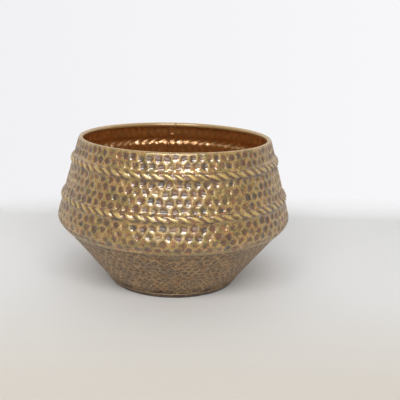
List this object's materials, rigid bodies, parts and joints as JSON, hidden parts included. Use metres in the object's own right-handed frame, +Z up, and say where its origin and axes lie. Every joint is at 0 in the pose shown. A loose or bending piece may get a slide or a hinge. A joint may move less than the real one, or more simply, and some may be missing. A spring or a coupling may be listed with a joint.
{
  "type": "flower pot",
  "caption": "Round hammered sheet-metal flower pot: a wall with a rolled rim and rope bands leans in above a rounded shoulder, and a cone narrows to a small flat foot.",
  "frame": {"origin": "middle of the resting plane, on the pot's axis", "axes": "+Z up along the pot's axis, -Y towards the front, the laps of the rolled sheets at +Y"},
  "size_m": [0.2305, 0.2306, 0.146],
  "materials": {
    "embossed_brass": "embossed sheet with an antique patina, coppery brown inside",
    "dark_brass": "embossed sheet with a darker, duller patina",
    "wire_steel": "drawn steel wire",
    "solder": "dull solder, lacquered over with the sheet"
  },
  "bodies": {
    "root": {"upper_wall": "embossed_brass", "rim_wire": "wire_steel", "upper_seam_solder": "solder", "lower_wall": "dark_brass", "lower_seam_solder": "solder", "shoulder_solder": "solder", "base_pan": "dark_brass", "base_solder": "solder"}
  },
  "joints": []
}
